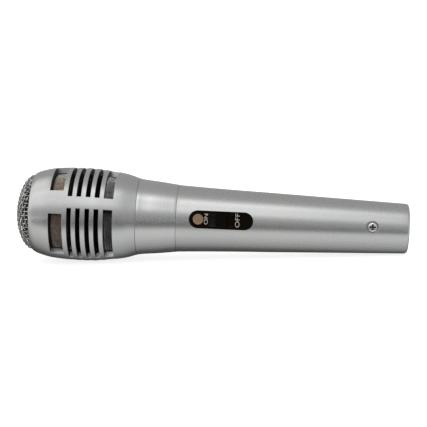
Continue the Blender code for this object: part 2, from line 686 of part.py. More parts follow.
def build():
    clear_scene()
    materials = {
        "shell": make_material("satin_shell", (0.60, 0.60, 0.60), 0.30, 1.0),
        "collar": make_material("brushed_collar", (0.68, 0.68, 0.67), 0.28, 1.0),
        "handle": make_material("satin_handle", (0.60, 0.60, 0.60), 0.32, 1.0),
        "mesh": make_material("woven_wire", (0.55, 0.54, 0.52), 0.35, 1.0),
        "foam": make_material("acoustic_foam", (0.05, 0.045, 0.04), 0.95),
        "steel": make_material("plain_steel", (0.50, 0.50, 0.50), 0.35, 1.0),
        "capsule": make_material("capsule_alloy", (0.45, 0.42, 0.38), 0.45, 1.0),
        "film": make_material("polyester_film", (0.75, 0.70, 0.55), 0.25),
        "copper": make_material("copper_wire", (0.72, 0.35, 0.18), 0.35, 1.0),
        "magnet": make_material("nickel_magnet", (0.45, 0.44, 0.42), 0.30, 1.0),
        "plastic": make_material("black_moulding", (0.02, 0.02, 0.02), 0.45),
        "felt": make_material("damping_felt", (0.55, 0.53, 0.48), 0.95),
        "board": make_material("laminate_board", (0.35, 0.22, 0.10), 0.60),
        "rubber": make_material("black_rubber", (0.025, 0.025, 0.025), 0.80),
        "black": make_material("black_switch_plastic", (0.018, 0.017, 0.016), 0.40),
        "beige": make_material("beige_inlay", (0.42, 0.33, 0.25), 0.50),
        "brass": make_material("contact_brass", (0.70, 0.52, 0.25), 0.30, 1.0),
        "tin": make_material("tinned_switch_case", (0.30, 0.30, 0.30), 0.45, 1.0),
        "pin": make_material("plated_pin", (0.75, 0.70, 0.60), 0.20, 1.0),
        "screw": make_material("dark_screw", (0.20, 0.20, 0.20), 0.35, 1.0),
        "wire_red": make_material("red_wire_sleeve", (0.45, 0.03, 0.03), 0.50),
        "wire_blue": make_material("blue_wire_sleeve", (0.03, 0.07, 0.35), 0.50),
    }
    base = empty("microphone_axis", rotation=(90.0 - SWITCH_ELEVATION, resting_slope(), 0.0))
    head = empty("head_axis", base)
    seal = empty("seal_axis", base)
    diaphragm = empty("diaphragm_axis", base)
    plate = empty("switch_plate_frame", base, (PLATE_CENTRE, 0.0, PLATE_HEIGHT), (0.0, plate_slope(), 0.0))
    knob = empty("switch_knob_frame", plate)
    socket = empty("socket_frame", base, rotation=(SWITCH_ELEVATION - 90.0, 0.0, 0.0))

    build_dome(head, materials["mesh"])
    build_shell(head, materials["shell"])
    build_head_fittings(head, materials)
    build_seal(seal, materials["rubber"])
    build_capsule(base, diaphragm, materials)
    build_neck(base, materials)
    build_handle(base, plate, materials["handle"])
    build_switch(plate, knob, materials)
    build_socket(base, socket, materials)
    build_wires(base, materials)
    settle(base)


build()
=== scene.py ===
"""Looks of a handheld dynamic microphone that lies on its side: a woven dome, a slotted satin head, a brushed
collar, a tapered handle with a slide switch, and a male three-pin socket in the tail.

Pieces are drawn in the microphone's axial frame in millimetres (x from the tip of the dome to the tail, z
towards the switch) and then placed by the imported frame.
"""

import json
import math

import bmesh
import bpy
import numpy as np
from mathutils import Matrix, Vector, noise


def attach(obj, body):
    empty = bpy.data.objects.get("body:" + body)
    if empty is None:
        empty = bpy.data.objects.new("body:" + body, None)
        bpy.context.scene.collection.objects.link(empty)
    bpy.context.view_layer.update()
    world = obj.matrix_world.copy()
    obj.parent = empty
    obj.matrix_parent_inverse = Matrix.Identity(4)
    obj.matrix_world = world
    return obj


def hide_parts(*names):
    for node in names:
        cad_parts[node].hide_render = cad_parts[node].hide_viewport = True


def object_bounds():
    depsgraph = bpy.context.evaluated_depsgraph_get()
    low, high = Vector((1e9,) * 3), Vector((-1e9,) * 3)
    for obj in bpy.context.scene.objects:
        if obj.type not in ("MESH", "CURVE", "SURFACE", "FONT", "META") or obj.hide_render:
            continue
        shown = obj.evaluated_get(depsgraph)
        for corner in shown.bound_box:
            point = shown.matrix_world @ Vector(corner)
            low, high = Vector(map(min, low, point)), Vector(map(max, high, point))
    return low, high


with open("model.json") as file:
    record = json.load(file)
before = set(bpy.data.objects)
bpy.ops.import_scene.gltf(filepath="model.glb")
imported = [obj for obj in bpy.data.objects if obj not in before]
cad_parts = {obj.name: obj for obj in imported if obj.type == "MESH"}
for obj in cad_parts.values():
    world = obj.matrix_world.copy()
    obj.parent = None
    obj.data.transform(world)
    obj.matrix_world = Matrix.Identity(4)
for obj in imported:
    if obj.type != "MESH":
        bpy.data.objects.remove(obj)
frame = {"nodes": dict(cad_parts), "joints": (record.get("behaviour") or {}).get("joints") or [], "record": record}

CAD_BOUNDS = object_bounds()

MM = 0.001
GAP = 0.3  # clearance between pieces inside
SEAM = 0.08  # the seams that show are narrower
CAD_SIDES = 48
SIDES = 192
FLAT = 0.9969  # a true circle of this share fits inside a 48-sided CAD piece
RIB_ANGLE = 14.0  # centre of one rib of the head, from the switch
EDGE_ANGLE = 35.0  # edges sharper than this stay sharp or get a bevel

# Head
DOME_DEPTH = 9.5
DOME_RADIUS = 19.0
DOME_EDGE = 8.4
SKIRT_RADIUS = 18.3
SKIRT_END = 13.4
DOME_WIRE = 0.27
DOME_CRIMP = 0.40  # how far a wire swings to each side of the cap's middle surface
DOME_PITCH = 2.1
SHELL_FRONT = 8.8
SHELL_END = 59.4
SHELL_OUTLINE = (
    (8.8, 19.05),
    (10.2, 19.85),
    (12.4, 20.6),
    (18.2, 21.9),
    (25.9, 22.5),
    (32.0, 22.65),
    (38.5, 22.5),
    (45.3, 21.75),
    (53.1, 20.6),
    (59.4, 18.7),
)
SHELL_WALL = 2.9
OPENINGS = (  # (start, end, CAD cells left closed at each side of a rib centre)
    (18.9, 25.4, 2),
    (27.7, 29.8, 1),
    (31.9, 34.0, 1),
    (36.3, 38.4, 1),
    (40.5, 42.7, 1),
    (44.8, 49.1, 1),
)
ROWS_OF_OPENINGS = 4
THREAD_BORE = 15.5
THREAD_START = 50.8
SEAL_SEAT = 58.3
SEAL_RADIUS = 17.0
LINER_START = 16.9
LINER_END = 50.2
LINER_WIRE = 0.145
LINER_PER_TURN = 104
LINER_RADIUS = 19.2
FOAM_RADIUS = 16.6
FOAM_WALL = 1.2
FOAM_END = 48.5
FOAM_DENTS = 0.12
WINDOW_SHARES = 60.0  # length in mm over which the liner's and the foam's painted light and shade change along the axis

# Collar, neck and handle
LENGTH = 189.4
COLLAR_START = 59.7
COLLAR_END = 78.4
COLLAR_OUTLINE = ((COLLAR_START, 18.6), (62.8, 18.15), (68.6, 17.6), (COLLAR_END, 16.4))
NECK_RADIUS = 15.2
NECK_START = 49.9
NECK_SHOULDER = 77.6
NECK_SPIGOT = 13.7
NECK_END = 84.0
NECK_SEAT_RADIUS = 13.9
NECK_SEAT_END = 55.0
NECK_BORE = 11.9
THREAD_CRESTS = 9
THREAD_DEPTH = 0.35
HANDLE_START = 78.7
HANDLE_FRONT_RADIUS = 16.3
HANDLE_MID = 121.0
HANDLE_MID_RADIUS = 14.55
HANDLE_TAIL_RADIUS = 12.07
TAIL_ROUNDING = 1.4
TAIL_ROUNDING_RATIO = 0.75
HANDLE_BORE = 11.5
TAIL_BORE = 10.0
TAIL_BORE_START = 165.0

# Switch
PLATE_CENTRE = 100.15
PLATE_LENGTH = 30.1
PLATE_WIDTH = 8.1
PLATE_THICKNESS = 1.3
PLATE_HEIGHT = 14.85
WINDOW_LENGTH = 12.0
WINDOW_WIDTH = 6.1
DOT_POSITION = -10.85
DOT_RADIUS = 2.5
KNOB_REAR = 4.8
KNOB_LENGTH = 7.3
KNOB_WIDTH = 5.2
KNOB_HEIGHT = 0.5
KNOB_RIDGE = 2.2
KNOB_GROOVES = 3

# Tail socket and its screw
INSERT_FACE = 175.5
INSERT_START = 167.5
INSERT_RADIUS = 9.7
SOCKET_RADIUS = 8.2
SOCKET_END = 188.8
PIN_RADIUS = 1.2
PIN_CIRCLE = 4.5
PIN_START = 164.8
PIN_TIP = 188.0
SCREW_POSITION = 171.8
SCREW_HOLE = 2.9
SCREW_HEAD = 2.35
SCREW_SHANK = 0.9
SCREW_TIP = 5.7
SCREW_UNDER = 11.02
SCREW_RIM = 11.45
SCREW_TOP = 12.15
RECESS_REACH = 1.5
RECESS_HALF_WIDTH = 0.45
LATCH_HOLE = (181.5, 185.0, 2.2)

# Camera, floor and light
FOCAL_LENGTH = 100.0
CAMERA_DISTANCE = 0.576
CAMERA_YAW = 3.0
CAMERA_ROLL = 2.6
AIM_ALONG_AXIS = 95.85
AIM_ABOVE_AXIS = 3.08
FLOOR_GREY = 0.40
FLOOR_GLOW = 2.0
EVEN_LIGHT = 1.1
SOFTBOX_POWER = 4.0
SOFTBOX_PLACE = (-0.15, -0.30, 0.75)
SOFTBOX_SIZE = (0.9, 0.45)
CARD_HALF_LENGTH = 0.25
CARD_DEPTHS = (-0.9, 0.3)
CARD_RADIUS = (0.0166, -0.054)  # the microphone's radius over the card, and its change along x
CARD_SLANT = -0.07
# Painted reflection and shadow: the card glows pale in front, like the lit floor, and dark under the microphone,
# standing for its contact shadow.
CARD_NEAR_SHADOW_LEVELS = (  # (distance from under the axis in radii of the microphone, level)
    (-2.4, 1.05),
    (-1.8, 1.02),
    (-1.4, 0.92),
    (-1.0, 0.72),
    (-0.8, 0.58),
    (-0.6, 0.38),
    (-0.42, 0.12),
    (-0.25, 0.05),
    (0.5, 0.05),
    (1.0, 0.60),
    (1.6, 0.85),
)
CARD_FAR_LEVELS = ((-0.9, 0.15), (-0.085, 0.15), (-0.0575, 0.5), (-0.048, 1.0), (0.3, 1.0))
ROOM_LEVELS = (  # (degrees up from level behind the camera, level)
    (-180.0, 0.50),
    (-90.0, 0.45),
    (-22.0, 0.38),
    (6.0, 0.38),
    (24.0, 0.70),
    (38.0, 0.80),
    (84.0, 0.72),
    (96.0, 0.57),
    (180.0, 0.46),
)
STRIP_LEVELS = (
    (26.0, 0.0),
    (36.0, 0.75),
    (44.0, 0.75),
    (56.0, 0.60),
    (63.0, 0.75),
    (70.0, 1.20),
    (77.0, 0.75),
    (84.0, 0.12),
    (92.0, 0.0),
)
STRIP_SHARES = (  # (share of the reflection that runs towards the tail, level)
    (-1.0, 0.9),
    (-0.6, 1.0),
    (-0.28, 0.62),
    (-0.10, 0.95),
    (0.0, 1.9),
    (0.05, 1.75),
    (0.10, 1.00),
    (0.16, 0.25),
    (0.34, 0.15),
    (1.0, 0.15),
)
SIDE_LEVELS = ((80.0, 0.0), (92.0, 0.9), (108.0, 1.0), (124.0, 0.0))  # a second light over the dome
SIDE_SHARES = ((-1.0, 1.0), (-0.42, 1.0), (-0.30, 0.0))


# --------------------------------------------------------------------------------------------- frames


def axial_frame():
    """Matrices from the axial frame and from the switch plate's frame, both in mm, to world metres."""
    joints = {joint["name"]: joint for joint in frame["joints"]}
    thread = joints["head_unscrew"]
    axis = -Vector(thread["axis"]).normalized()
    point = Vector(thread["pos_m"])
    plate_axis = -Vector(joints["switch_slide"]["axis"]).normalized()
    switch = (axis * axis.dot(plate_axis) - plate_axis).normalized()
    vertices = frame["nodes"]["dome_mesh"].data.vertices
    tip = point + axis * min(axis.dot(vertex.co - point) for vertex in vertices)
    turn = Matrix((axis, switch.cross(axis), switch)).transposed()
    whole = Matrix.Translation(tip) @ turn.to_4x4() @ Matrix.Scale(MM, 4)
    slope = math.acos(min(1.0, axis.dot(plate_axis)))
    plate_place = Matrix.Translation((PLATE_CENTRE, 0.0, PLATE_HEIGHT)) @ Matrix.Rotation(slope, 4, "Y")
    upright = Matrix.Rotation(-math.atan2(-switch.y, switch.z), 4, "X")
    return whole, whole @ plate_place, whole @ upright


MIC, PLATE, SOCKET = axial_frame()
AXIS = MIC.to_3x3().col[0].normalized()


# -------------------------------------------------------------------------------------------- outlines


def smooth_value(x, points):
    """Height at x of a smooth curve through (x, y) points, without overshoot at a maximum."""
    slopes = [(b[1] - a[1]) / (b[0] - a[0]) for a, b in zip(points, points[1:])]
    tangents = [slopes[0]]
    for before, after in zip(slopes, slopes[1:]):
        rising = before * after > 0.0
        tangents.append(2.0 * before * after / (before + after) if rising else 0.0)
    tangents.append(slopes[-1])
    k = 0
    while k < len(slopes) - 1 and x > points[k + 1][0]:
        k += 1
    span = points[k + 1][0] - points[k][0]
    t = min(max((x - points[k][0]) / span, 0.0), 1.0)
    start = points[k][1] * (1 + 2 * t) + tangents[k] * span * t
    end = points[k + 1][1] * (3 - 2 * t) - tangents[k + 1] * span * (1 - t)
    return start * (1 - t) ** 2 + end * t**2


def shell_radius(x):
    return smooth_value(x, SHELL_OUTLINE) * FLAT


def shell_inner_radius(x):
    if x < LINER_START - 1.0:
        return SKIRT_RADIUS + GAP
    return shell_radius(x) - SHELL_WALL


def handle_radius(x):
    cone_end = LENGTH - TAIL_ROUNDING
    if x > HANDLE_MID:
        share = (x - HANDLE_MID) / (cone_end - HANDLE_MID)
        return (HANDLE_MID_RADIUS + share * (HANDLE_TAIL_RADIUS - HANDLE_MID_RADIUS)) * FLAT
    share = (x - HANDLE_START) / (HANDLE_MID - HANDLE_START)
    drop = HANDLE_FRONT_RADIUS - HANDLE_MID_RADIUS
    return (HANDLE_FRONT_RADIUS - drop * (share + 0.3 * share * (1.0 - share))) * FLAT


def between(stations, step):
    """The stations with even ones added wherever two are further apart than step."""
    result = [stations[0]]
    for low, high in zip(stations, stations[1:]):
        count = max(1, math.ceil(abs(high - low) / step))
        result += [low + (high - low) * k / count for k in range(1, count + 1)]
    return result


def rounded(corner, before, after, radius, steps=3):
    """Points of a round that replaces a square corner of an (x, radius) outline."""
    corner = Vector(corner)
    start = corner + (Vector(before) - corner).normalized() * radius
    end = corner + (Vector(after) - corner).normalized() * radius
    points = []
    for k in range(steps + 1):
        t = k / steps
        point = start * (1 - t) ** 2 + corner * 2 * t * (1 - t) + end * t**2
        points.append(tuple(point))
    return points


def round_corners(outline, radii, steps=3):
    """A closed outline with the numbered corners rounded."""
    result = []
    for k, point in enumerate(outline):
        if k in radii:
            result += rounded(point, outline[k - 1], outline[(k + 1) % len(outline)], radii[k], steps)
        else:
            result.append(point)
    return result


# ------------------------------------------------------------------------------------------- mesh tools


def ring_point(x, radius, angle):
    turn = math.radians(angle)
    return (x, radius * math.sin(turn), radius * math.cos(turn))


def add_rings(bm, outline, sides):
    rings = []
    for x, radius in outline:
        if radius == 0.0:
            rings.append([bm.verts.new((x, 0.0, 0.0))])
            continue
        angles = [RIB_ANGLE + 360.0 * k / sides for k in range(sides)]
        rings.append([bm.verts.new(ring_point(x, radius, angle)) for angle in angles])
    return rings


def bridge(bm, first, second, cell):
    corners = []
    for ring, order in ((first, (cell, cell + 1)), (second, (cell + 1, cell))):
        for index in order[: len(ring)]:
            corners.append(ring[index % len(ring)])
    bm.faces.new(corners)


def turned_mesh(outline, sides=SIDES):
    """A closed solid of revolution about x; outline goes once round its section."""
    bm = bmesh.new()
    rings = add_rings(bm, outline, sides)
    for first, second in zip(rings, rings[1:] + rings[:1]):
        if len(first) == 1 and len(second) == 1:
            continue
        for cell in range(sides):
            bridge(bm, first, second, cell)
    return bm


def prism_mesh(outline, low, high, up="z"):
    bm = bmesh.new()
    rings = []
    for height in (low, high):
        if up == "z":
            rings.append([bm.verts.new((u, v, height)) for u, v in outline])
        else:
            rings.append([bm.verts.new((u, height, v)) for u, v in outline])
    bm.faces.new(rings[0])
    bm.faces.new(rings[1])
    for k in range(len(outline)):
        after = (k + 1) % len(outline)
        bm.faces.new((rings[0][k], rings[0][after], rings[1][after], rings[1][k]))
    return bm


def rectangle(low_x, high_x, half_width):
    return [(low_x, -half_width), (high_x, -half_width), (high_x, half_width), (low_x, half_width)]


def circle(radius, centre=(0.0, 0.0), sides=64):
    turns = [2.0 * math.pi * k / sides for k in range(sides)]
    return [(centre[0] + radius * math.cos(t), centre[1] + radius * math.sin(t)) for t in turns]


def stadium(length, width, steps=24):
    radius = width / 2.0
    reach = length / 2.0 - radius
    points = []
    for side, start in ((1.0, -90.0), (-1.0, 90.0)):
        for k in range(steps + 1):
            turn = math.radians(start + 180.0 * k / steps)
            points.append((side * reach + radius * math.cos(turn), radius * math.sin(turn)))
    return points


def tube_arrays(paths, radius, sides):
    """Vertices and faces of round wires; each path is (points, surface normals), both n by 3."""
    turns = 2.0 * np.pi * np.arange(sides) / sides
    vertices, faces, start = [], [], 0
    for points, normals in paths:
        along = np.gradient(points, axis=0)
        along /= np.linalg.norm(along, axis=1, keepdims=True)
        across = np.cross(along, normals)
        across /= np.linalg.norm(across, axis=1, keepdims=True)
        out = np.cross(across, along)
        cosine = np.cos(turns)[None, :, None]
        sine = np.sin(turns)[None, :, None]
        ring = out[:, None, :] * cosine + across[:, None, :] * sine
        vertices.append((points[:, None, :] + radius * ring).reshape(-1, 3))
        count = len(points)
        index = start + np.arange(count * sides).reshape(count, sides)
        after = np.roll(index, -1, axis=1)
        quads = np.stack((index[:-1], after[:-1], after[1:], index[1:]), axis=-1).reshape(-1, 4)
        faces += quads.tolist()
        faces.append(index[0].tolist()[::-1])
        faces.append(index[-1].tolist())
        start += count * sides
    return np.concatenate(vertices), faces


def new_piece(name, source, place, body, material, replaces=(), angle=EDGE_ANGLE):
    """Turn a bmesh, or (vertices, faces), into a piece that rides on a body and stands for CAD nodes."""
    mesh = bpy.data.meshes.new(name)
    if isinstance(source, tuple):
        mesh.from_pydata(source[0].tolist(), [], source[1])
    else:
        bmesh.ops.recalc_face_normals(source, faces=source.faces)
        source.to_mesh(mesh)
        source.free()
    mesh.transform(place)
    mesh.shade_smooth()
    mesh.set_sharp_from_angle(angle=math.radians(angle))
    mesh.materials.append(material)
    thing = bpy.data.objects.new(name, mesh)
    bpy.context.collection.objects.link(thing)
    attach(thing, body)
    if replaces:
        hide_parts(*replaces)
    return thing


def cut(thing, cutters, place, material=None):
    """Take the cutters' shapes out of a piece, and give the cut faces a material if one is named."""
    made = []
    for k, bm in enumerate(cutters):
        mesh = bpy.data.meshes.new(f"cutter_{k}")
        bmesh.ops.recalc_face_normals(bm, faces=bm.faces)
        bm.to_mesh(mesh)
        bm.free()
        mesh.transform(place)
        mesh.materials.append(material or thing.data.materials[0])
        cutter = bpy.data.objects.new(f"cutter_{k}", mesh)
        bpy.context.collection.objects.link(cutter)
        boolean = thing.modifiers.new(f"cut_{k}", "BOOLEAN")
        boolean.operation = "DIFFERENCE"
        boolean.solver = "EXACT"
        boolean.material_mode = "TRANSFER"
        boolean.object = cutter
        made.append(cutter)
    apply_modifiers(thing)
    for cutter in made:
        bpy.data.objects.remove(cutter, do_unlink=True)


def apply_modifiers(thing):
    graph = bpy.context.evaluated_depsgraph_get()
    graph.update()
    mesh = bpy.data.meshes.new_from_object(thing.evaluated_get(graph))
    thing.modifiers.clear()
    thing.data = mesh
    mesh.shade_smooth()
    mesh.set_sharp_from_angle(angle=math.radians(EDGE_ANGLE))


def soften(thing, width, segments=2, angle=EDGE_ANGLE):
    """Round off a piece's sharp edges by a small bevel that keeps its flat faces flat."""
    for edge in thing.data.edges:
        edge.use_edge_sharp = False
    bevel = thing.modifiers.new("edges", "BEVEL")
    bevel.width = width * MM
    bevel.segments = segments
    bevel.limit_method = "ANGLE"
    bevel.angle_limit = math.radians(angle)
    bevel.harden_normals = True
    bevel.material = 0


# ------------------------------------------------------------------------------------------- materials


class Nodes:
    """A material under construction: a Principled shader and the few nodes that feed it."""

    def __init__(self, name):
        self.material = bpy.data.materials.new(name)
        self.material.use_nodes = True
        self.tree = self.material.node_tree
        self.shader = self.tree.nodes["Principled BSDF"]
        self.coordinate = self.tree.nodes.new("ShaderNodeTexCoord")

    def link(self, source, target):
        self.tree.links.new(source, target)

    def along_axis(self, stretch):
        """Object coordinates turned so that x runs along the microphone, then stretched."""
        mapping = self.tree.nodes.new("ShaderNodeMapping")
        mapping.vector_type = "TEXTURE"
        back = AXIS.rotation_difference(Vector((1, 0, 0))).inverted()
        mapping.inputs["Rotation"].default_value = back.to_euler()
        self.link(self.coordinate.outputs["Object"], mapping.inputs["Vector"])
        scale = self.tree.nodes.new("ShaderNodeMapping")
        scale.inputs["Scale"].default_value = stretch
        self.link(mapping.outputs["Vector"], scale.inputs["Vector"])
        return scale.outputs["Vector"]

    def noise(self, stretch, detail=2.0, roughness=0.5):
        texture = self.tree.nodes.new("ShaderNodeTexNoise")
        texture.inputs["Scale"].default_value = 1.0
        texture.inputs["Detail"].default_value = detail
        texture.inputs["Roughness"].default_value = roughness
        self.link(self.along_axis(stretch), texture.inputs["Vector"])
        return texture.outputs["Fac"]

    def voronoi(self, scale):
        texture = self.tree.nodes.new("ShaderNodeTexVoronoi")
        texture.inputs["Scale"].default_value = 1.0
        self.link(self.along_axis((scale, scale, scale)), texture.inputs["Vector"])
        return texture.outputs["Distance"]

    def ramp(self, factor, stops):
        node = self.tree.nodes.new("ShaderNodeValToRGB")
        ramp = node.color_ramp
        while len(ramp.elements) < len(stops):
            ramp.elements.new(0.5)
        for element, (position, colour) in zip(ramp.elements, stops):
            element.position = position
            element.color = (*colour, 1.0)
        self.link(factor, node.inputs["Fac"])
        return node.outputs["Color"]

    def spread(self, factor, low, high):
        node = self.tree.nodes.new("ShaderNodeMapRange")
        node.inputs["From Min"].default_value = 0.3
        node.inputs["From Max"].default_value = 0.7
        node.inputs["To Min"].default_value = low
        node.inputs["To Max"].default_value = high
        self.link(factor, node.inputs["Value"])
        return node.outputs["Result"]

    def axial(self, length):
        """Distance along the axis from the tip of the dome, as a share of a length in mm."""
        separate = self.tree.nodes.new("ShaderNodeSeparateXYZ")
        self.link(self.along_axis((1.0, 1.0, 1.0)), separate.inputs["Vector"])
        share = self.tree.nodes.new("ShaderNodeMapRange")
        start = AXIS.dot(MIC.translation)
        share.inputs["From Min"].default_value = start
        share.inputs["From Max"].default_value = start + length * MM
        self.link(separate.outputs["X"], share.inputs["Value"])
        return share.outputs["Result"]

    def height(self, top):
        """Height over the ground as a share of a height in mm."""
        separate = self.tree.nodes.new("ShaderNodeSeparateXYZ")
        self.link(self.coordinate.outputs["Object"], separate.inputs["Vector"])
        share = self.tree.nodes.new("ShaderNodeMapRange")
        share.inputs["From Max"].default_value = top * MM
        self.link(separate.outputs["Z"], share.inputs["Value"])
        return share.outputs["Result"]

    def product(self, first, second):
        mix = self.tree.nodes.new("ShaderNodeMix")
        mix.data_type = "RGBA"
        mix.blend_type = "MULTIPLY"
        mix.inputs["Factor"].default_value = 1.0
        self.link(first, mix.inputs["A"])
        self.link(second, mix.inputs["B"])
        return mix.outputs["Result"]

    def bump(self, height, strength, distance):
        node = self.tree.nodes.new("ShaderNodeBump")
        node.inputs["Strength"].default_value = strength
        node.inputs["Distance"].default_value = distance
        self.link(height, node.inputs["Height"])
        self.link(node.outputs["Normal"], self.shader.inputs["Normal"])


def shade(colour, factor):
    return tuple(min(1.0, channel * factor) for channel in colour)


def metal(name, colour, roughness, cloud=60.0, grain=(3200.0, 3200.0, 3200.0), bump=0.003, variation=0.012):
    """Worked metal: faint clouds in its colour, and a grain that may run round the axis or be even."""
    made = Nodes(name)
    made.shader.inputs["Metallic"].default_value = 0.95
    clouds = made.noise((cloud, cloud, cloud), detail=3.0)
    warm = shade((colour[0] * 1.01, colour[1], colour[2] * 0.985), 1.0 + variation)
    cool = shade((colour[0] * 0.985, colour[1], colour[2] * 1.015), 1.0 - variation)
    made.link(made.ramp(clouds, ((0.3, cool), (0.7, warm))), made.shader.inputs["Base Color"])
    fine = made.noise(grain, detail=4.0, roughness=0.6)
    made.link(made.spread(fine, roughness * 0.82, roughness * 1.2), made.shader.inputs["Roughness"])
    made.bump(fine, bump, 0.0002)
    return made.material


def moulded(name, colour, roughness, grain=3500.0, bump=0.12, variation=0.25, specular=0.5):
    """Moulded plastic, rubber or print: a slightly uneven colour and a fine even grain."""
    made = Nodes(name)
    made.shader.inputs["Specular IOR Level"].default_value = specular
    clouds = made.noise((300.0, 300.0, 300.0), detail=3.0)
    stops = ((0.3, shade(colour, 1.0 - variation)), (0.7, shade(colour, 1.0 + variation)))
    made.link(made.ramp(clouds, stops), made.shader.inputs["Base Color"])
    fine = made.noise((grain, grain, grain), detail=2.0)
    made.link(made.spread(fine, roughness * 0.85, roughness * 1.15), made.shader.inputs["Roughness"])
    made.bump(fine, bump, 0.0001)
    return made.material


def grey(level):
    return (level, level, level)


def rib_shade(made, low):
    """Painted light and shade by height over the ground: full colour high up where light falls, less of it low
    down as painted shade, and dark as a painted shadow of the rib between the two.
    """
    stops = ((0.50, grey(low)), (0.535, grey(0.12)), (0.60, grey(0.12)), (0.65, grey(1.0)))
    return made.ramp(made.height(50.0), stops)


def foam_material():
    """Open-cell foam, painted brown as if lit where light comes in through the front windows and nearly black
    further back, its dark colour deepened by painted shade.
    """
    made = Nodes("acoustic_foam")
    brown = (0.62, 0.40, 0.32)
    black = (0.010, 0.0095, 0.009)
    # Painted light and shade along the axis: the brown stands for light coming in through the front windows, the
    # black for the foam's dark colour with painted shade behind the dome and the narrow slots.
    stops = ((0.0, black), (0.315, black), (0.33, brown), (0.43, brown), (0.46, black), (1.0, black))
    depth = made.ramp(made.axial(WINDOW_SHARES), stops)
    cells = made.voronoi(1400.0)
    pores = made.ramp(cells, ((0.1, grey(0.25)), (0.6, grey(1.0))))
    # rib_shade adds painted shade low down and a painted shadow under the rib.
    colour = made.product(made.product(depth, pores), rib_shade(made, 0.9))
    made.link(colour, made.shader.inputs["Base Color"])
    made.shader.inputs["Roughness"].default_value = 0.95
    made.bump(cells, 0.8, 0.0004)
    return made.material


def liner_material():
    """Fine wire weave in painted light and shade: lit pale behind the windows, dark as painted shade behind the
    narrow slots, with painted glints.
    """
    made = Nodes("liner_wire")
    made.shader.inputs["Metallic"].default_value = 0.9
    made.shader.inputs["Roughness"].default_value = 0.35
    # One wire in lit and shaded copies: near black as painted shade behind the narrow slots, a lit olive behind
    # the front windows, a lit pale behind the rear windows.
    dark = grey(0.035)
    window_lit_olive = (0.78, 0.76, 0.66)
    pale = (0.98, 0.99, 1.0)
    stops = ((0.0, dark), (0.32, dark), (0.335, window_lit_olive), (0.43, window_lit_olive), (0.45, dark), (0.725, dark))
    depth = made.ramp(made.axial(WINDOW_SHARES), stops + ((0.745, pale), (1.0, pale)))
    # Painted glints: noise that lightens and darkens the wire's colour in small spots.
    painted_glints = made.ramp(made.noise((1100.0, 1100.0, 1100.0)), ((0.38, grey(0.45)), (0.60, grey(1.0))))
    # rib_shade adds painted shade low down and a painted shadow under the rib.
    colour = made.product(made.product(depth, painted_glints), rib_shade(made, 0.45))
    made.link(colour, made.shader.inputs["Base Color"])
    return made.material


SILVER = (0.44, 0.44, 0.438)
MATERIALS = {
    "satin_shell": metal("satin_shell", SILVER, 0.29),
    "brushed_collar": metal(
        "brushed_collar", shade(SILVER, 1.04), 0.26, grain=(5200.0, 60.0, 60.0), bump=0.015
    ),
    "satin_handle": metal("satin_handle", SILVER, 0.29),
    "dome_wire": metal("dome_wire", (0.42, 0.415, 0.41), 0.15, cloud=700.0, variation=0.35),
    "liner_wire": liner_material(),
    "foam": foam_material(),
    "steel": metal("plain_steel", (0.50, 0.50, 0.50), 0.32),
    "capsule_alloy": metal("capsule_alloy", (0.45, 0.42, 0.38), 0.42),
    "film": moulded("polyester_film", (0.75, 0.70, 0.55), 0.25, bump=0.03, variation=0.08),
    "copper": metal("copper_winding", (0.72, 0.35, 0.18), 0.35, grain=(9000.0, 90.0, 90.0), bump=0.5),
    "nickel_magnet": metal("nickel_magnet", (0.45, 0.44, 0.42), 0.28),
    "black_moulding": moulded("black_moulding", (0.022, 0.022, 0.022), 0.45),
    "felt": moulded("damping_felt", (0.55, 0.53, 0.48), 0.95, grain=1800.0, bump=0.8),
    "laminate": moulded("brown_laminate", (0.35, 0.22, 0.10), 0.55),
    "rubber": moulded("black_rubber", (0.028, 0.028, 0.028), 0.75, bump=0.25),
    "black_switch": moulded("black_switch_plastic", (0.0022, 0.0012, 0.0004), 0.30, bump=0.04, specular=0.05),
    "beige_inlay": moulded("beige_inlay", (0.145, 0.092, 0.055), 0.35, variation=0.10),
    "contact_brass": metal("contact_brass", (0.70, 0.52, 0.25), 0.30),
    "tinned_case": metal("tinned_case", (0.03, 0.03, 0.03), 0.50),
    "plated_pin": metal("plated_pin", (0.80, 0.78, 0.74), 0.16),
    "dark_screw": metal("bright_screw", (0.60, 0.60, 0.595), 0.14, bump=0.01),
    "red_wire": moulded("red_wire_sleeve", (0.42, 0.03, 0.03), 0.45),
    "blue_wire": moulded("blue_wire_sleeve", (0.03, 0.07, 0.33), 0.45),
}
# Painted shade: a near-black metal for the end walls of the shell's openings, standing for the shade inside them.
SLOT_SHADE_METAL = metal("slot_painted_shade", (0.035, 0.034, 0.033), 0.45)
LETTERING = moulded("pale_print", (0.30, 0.265, 0.225), 0.55, variation=0.12)


# ------------------------------------------------------------------------------------------------ head


def dome_meridian():
    """Middle surface of the woven cap, tip to skirt end, as arrays of x, radius and arc."""
    shrink = DOME_CRIMP + DOME_WIRE + 0.03
    depth = DOME_DEPTH - shrink
    radius = DOME_RADIUS * FLAT - shrink
    last = math.acos((DOME_DEPTH - DOME_EDGE) / depth)
    turns = np.linspace(0.0, last, 120)
    x = DOME_DEPTH - depth * np.cos(turns)
    r = radius * np.sin(turns)
    skirt = SKIRT_RADIUS * FLAT - shrink
    down = np.linspace(0.0, 1.0, 12)[1:]
    ease = down * down * (3.0 - 2.0 * down)
    x = np.concatenate((x, DOME_EDGE + 1.2 * down, [SKIRT_END]))
    r = np.concatenate((r, r[-1] + (skirt - r[-1]) * ease, [skirt]))
    arc = np.concatenate(([0.0], np.cumsum(np.hypot(np.diff(x), np.diff(r)))))
    return x, r, arc


